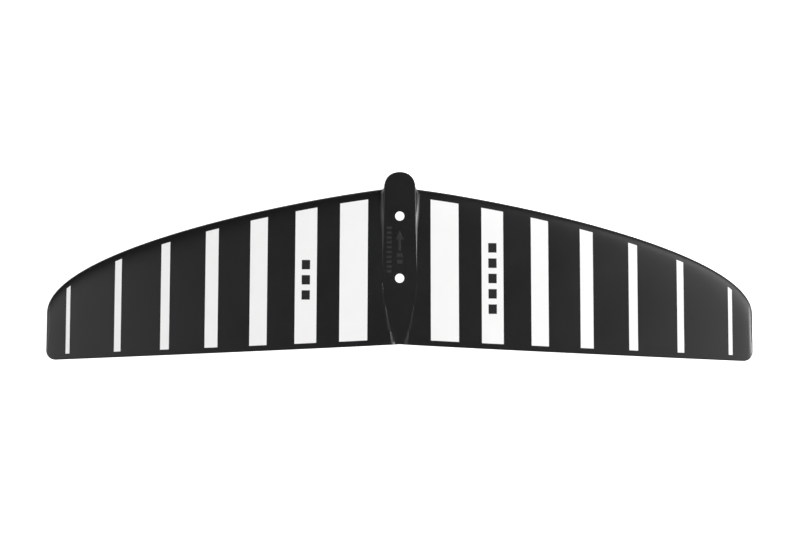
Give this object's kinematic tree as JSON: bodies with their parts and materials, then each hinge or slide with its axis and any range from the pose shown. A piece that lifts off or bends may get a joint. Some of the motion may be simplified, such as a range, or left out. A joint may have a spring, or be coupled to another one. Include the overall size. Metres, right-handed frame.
{
  "type": "hydrofoil stabiliser wing",
  "caption": "Moulded foam-cored hydrofoil tail wing with drooped tips, a raised mounting pad with a rounded nose, flush bolt sleeves and tapering white stripes on black.",
  "frame": {"origin": "on the flat mating face of the mounting pad, midway between the two bolt holes", "axes": "+X to the right tip (the side with the longer row of dashes), +Y forward to the nose and leading edge, +Z out of the mating face, towards the fuselage"},
  "size_m": [0.41, 0.1093, 0.0104],
  "materials": {
    "black_shell": "satin black moulded carbon laminate",
    "white_film": "satin white print",
    "black_print": "satin black print",
    "carbon_laminate": "unidirectional carbon laminate",
    "glass_laminate": "dense glass-fibre laminate block",
    "core_foam": "rigid closed-cell foam",
    "sleeve_metal": "anodised"
  },
  "bodies": {
    "root": {"upper_skin": "black_shell", "lower_skin": "black_shell", "main_spar": "carbon_laminate", "hub_block_front": "glass_laminate", "hub_block_rear": "glass_laminate", "core_front_left": "core_foam", "core_front_right": "core_foam", "core_rear_left": "core_foam", "core_rear_right": "core_foam", "leading_edge_strip_left": "carbon_laminate", "leading_edge_strip_right": "carbon_laminate", "trailing_edge_strip_left": "carbon_laminate", "trailing_edge_strip_right": "carbon_laminate", "tip_block_left": "glass_laminate", "tip_block_right": "glass_laminate", "mounting_pad": "black_shell", "bolt_sleeve_front": "sleeve_metal", "bolt_sleeve_rear": "sleeve_metal", "stripe_left_1": "white_film", "stripe_left_2": "white_film", "stripe_left_3": "white_film", "stripe_left_4": "white_film", "stripe_left_5": "white_film", "stripe_left_6": "white_film", "stripe_left_7": "white_film", "stripe_right_1": "white_film", "stripe_right_2": "white_film", "stripe_right_3": "white_film", "stripe_right_4": "white_film", "stripe_right_5": "white_film", "stripe_right_6": "white_film", "stripe_right_7": "white_film", "dashes_left": "black_print", "dashes_right": "black_print"}
  },
  "joints": []
}
